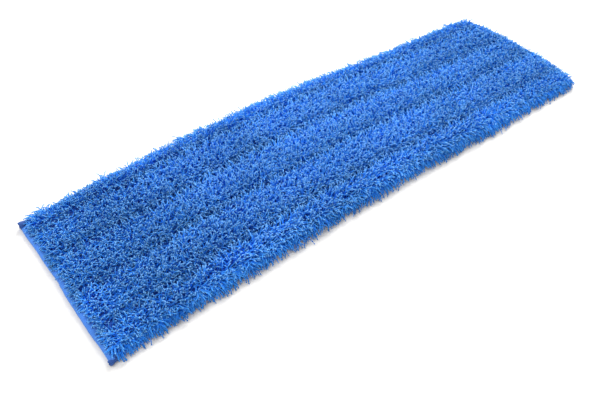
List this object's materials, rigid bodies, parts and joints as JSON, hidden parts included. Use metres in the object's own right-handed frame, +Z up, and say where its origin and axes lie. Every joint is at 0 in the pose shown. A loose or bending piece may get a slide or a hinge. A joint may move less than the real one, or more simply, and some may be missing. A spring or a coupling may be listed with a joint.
{
  "type": "flat mop pad",
  "caption": "Flat wet-mop pad with a blue twisted-loop microfibre pile, quilted rows, a bound rim and a loop-faced backing for a hook-strip frame.",
  "frame": {"origin": "middle of the overall box, on the plane that the pad's underside lies on", "axes": "+X along the length, towards the end whose binding the pile hides; +Y across the width, towards the back edge; +Z up, out of the pile"},
  "size_m": [0.47, 0.135, 0.014],
  "materials": {
    "pile_yarn": "matte",
    "binding_tape": "satin",
    "backing_knit": "matte",
    "ground_knit": "matte",
    "core_felt": "matte",
    "sewing_thread": "satin"
  },
  "bodies": {
    "root": {"absorbent_core": "core_felt", "backing_cloth": "backing_knit", "binding_back_edge": "binding_tape", "binding_bobbin_thread_back_edge": "sewing_thread", "binding_bobbin_thread_front_edge": "sewing_thread", "binding_bobbin_thread_left_end": "sewing_thread", "binding_bobbin_thread_right_end": "sewing_thread", "binding_front_edge": "binding_tape", "binding_left_end": "binding_tape", "binding_needle_thread_back_edge": "sewing_thread", "binding_needle_thread_front_edge": "sewing_thread", "binding_needle_thread_left_end": "sewing_thread", "binding_needle_thread_right_end": "sewing_thread", "binding_right_end": "binding_tape", "ground_cloth": "ground_knit", "pile_band_1": "pile_yarn", "pile_band_2": "pile_yarn", "pile_band_3": "pile_yarn", "pile_band_4": "pile_yarn", "pile_band_5": "pile_yarn", "quilting_bobbin_thread_1": "sewing_thread", "quilting_bobbin_thread_2": "sewing_thread", "quilting_bobbin_thread_3": "sewing_thread", "quilting_bobbin_thread_4": "sewing_thread", "quilting_needle_thread_1": "sewing_thread", "quilting_needle_thread_2": "sewing_thread", "quilting_needle_thread_3": "sewing_thread", "quilting_needle_thread_4": "sewing_thread"}
  },
  "joints": []
}
